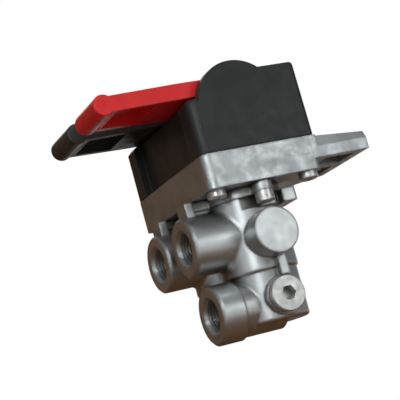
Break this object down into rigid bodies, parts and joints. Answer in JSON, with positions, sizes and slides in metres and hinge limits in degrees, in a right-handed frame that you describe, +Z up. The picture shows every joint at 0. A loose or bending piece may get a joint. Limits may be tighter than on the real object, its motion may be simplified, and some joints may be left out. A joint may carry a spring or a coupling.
{
  "type": "hand lever air valve",
  "caption": "Twin hand-lever pneumatic valve: moulded hood over side-by-side levers on a die-cast rim with a side mounting flange and threaded ports below.",
  "frame": {"origin": "middle of the two flange holes, on the seats their bolts bear on", "axes": "+X from the lever tips to the mounting flange, +Y from the red lever's side to the black lever's side, +Z up to the lever side"},
  "size_m": [0.1219, 0.0868, 0.1206],
  "materials": {
    "cast_plate": "die-cast, satin, stained",
    "cast_body": "die-cast, blasted",
    "hood_plastic": "moulded, fine grain",
    "red_plastic": "moulded, satin",
    "black_plastic": "moulded, satin",
    "steel": "zinc plated",
    "shaft_steel": "ground",
    "spring_steel": "drawn wire",
    "bronze": "sintered",
    "brass": "turned",
    "spool_alloy": "turned",
    "rubber": "nitrile",
    "gasket": "fibre-rubber sheet",
    "copper": "soft copper"
  },
  "bodies": {
    "housing": {"base_plate": "cast_plate", "valve_body": "cast_body", "cover": "hood_plastic", "cover_gasket": "gasket", "body_gasket": "gasket", "cover_screws": "steel", "body_screws": "steel", "pivot_shaft": "shaft_steel", "shaft_cap": "hood_plastic", "thrust_washers": "bronze", "red_guide": "brass", "red_spring": "spring_steel", "black_guide": "brass", "black_spring": "spring_steel", "retaining_rings": "spring_steel", "check_cartridge": "brass", "check_poppet": "rubber", "check_spring": "spring_steel", "port_plug": "steel", "plug_seal": "copper"},
    "red_handle": {"red_lever": "red_plastic", "red_bushes": "bronze"},
    "black_handle": {"black_lever": "black_plastic", "black_bushes": "bronze"},
    "red_valve": {"red_spool": "spool_alloy", "red_spool_seals": "rubber"},
    "black_valve": {"black_spool": "spool_alloy", "black_spool_seals": "rubber"}
  },
  "joints": [
    {"name": "red_hinge", "type": "hinge", "parent": "housing", "child": "red_handle", "pos_m": [-0.04425, -0.0021, 0.0276], "axis": [0, 1, 0], "range_deg": [0, 72]},
    {"name": "black_hinge", "type": "hinge", "parent": "housing", "child": "black_handle", "pos_m": [-0.04425, 0.0391, 0.0276], "axis": [0, 1, 0], "range_deg": [0, 72]},
    {"name": "red_slide", "type": "slide", "parent": "housing", "child": "red_valve", "axis": [0, 0, -1], "range_m": [0, 0.00341], "deforming": ["red_spring"]},
    {"name": "black_slide", "type": "slide", "parent": "housing", "child": "black_valve", "axis": [0, 0, -1], "range_m": [0, 0.00341], "deforming": ["black_spring"]}
  ],
  "couplings": [
    {"joint": "red_slide", "follows": "red_hinge", "m_per_rad": 0.0027056},
    {"joint": "black_slide", "follows": "black_hinge", "m_per_rad": 0.0027056}
  ]
}
